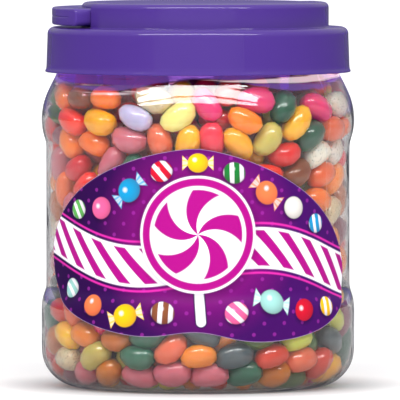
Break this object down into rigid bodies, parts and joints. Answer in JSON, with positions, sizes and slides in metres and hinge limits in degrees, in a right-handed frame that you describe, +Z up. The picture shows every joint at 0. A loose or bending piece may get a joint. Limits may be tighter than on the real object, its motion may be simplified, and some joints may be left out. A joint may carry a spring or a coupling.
{
  "type": "jar of jelly beans",
  "caption": "Wide-mouth clear plastic jar full of jelly beans, with a wrap label, a screw lid and a folding carry handle.",
  "frame": {"origin": "on the jar's axis, on the surface that it stands on", "axes": "+Z up along the jar's axis; the label's middle faces -Y, +X is to its right seen from the front"},
  "size_m": [0.138, 0.1387, 0.1697],
  "materials": {
    "clear_plastic": "clear, glossy blow-moulded plastic",
    "lid_plastic": "satin-gloss purple moulded plastic",
    "handle_plastic": "satin-gloss purple moulded plastic",
    "label_film": "satin printed film, deep purple with magenta",
    "jelly_bean": "polished sugar shell in many colours"
  },
  "bodies": {
    "jar": {"jar": "clear_plastic", "lid": "lid_plastic", "label": "label_film", "jelly_beans": "jelly_bean"},
    "handle": {"handle": "handle_plastic"}
  },
  "joints": [
    {"name": "handle_fold", "type": "hinge", "parent": "jar", "child": "handle", "pos_m": [0, 0, 0.16365], "axis": [0.8554, 0.518, 0], "range_deg": [0, 90]}
  ]
}
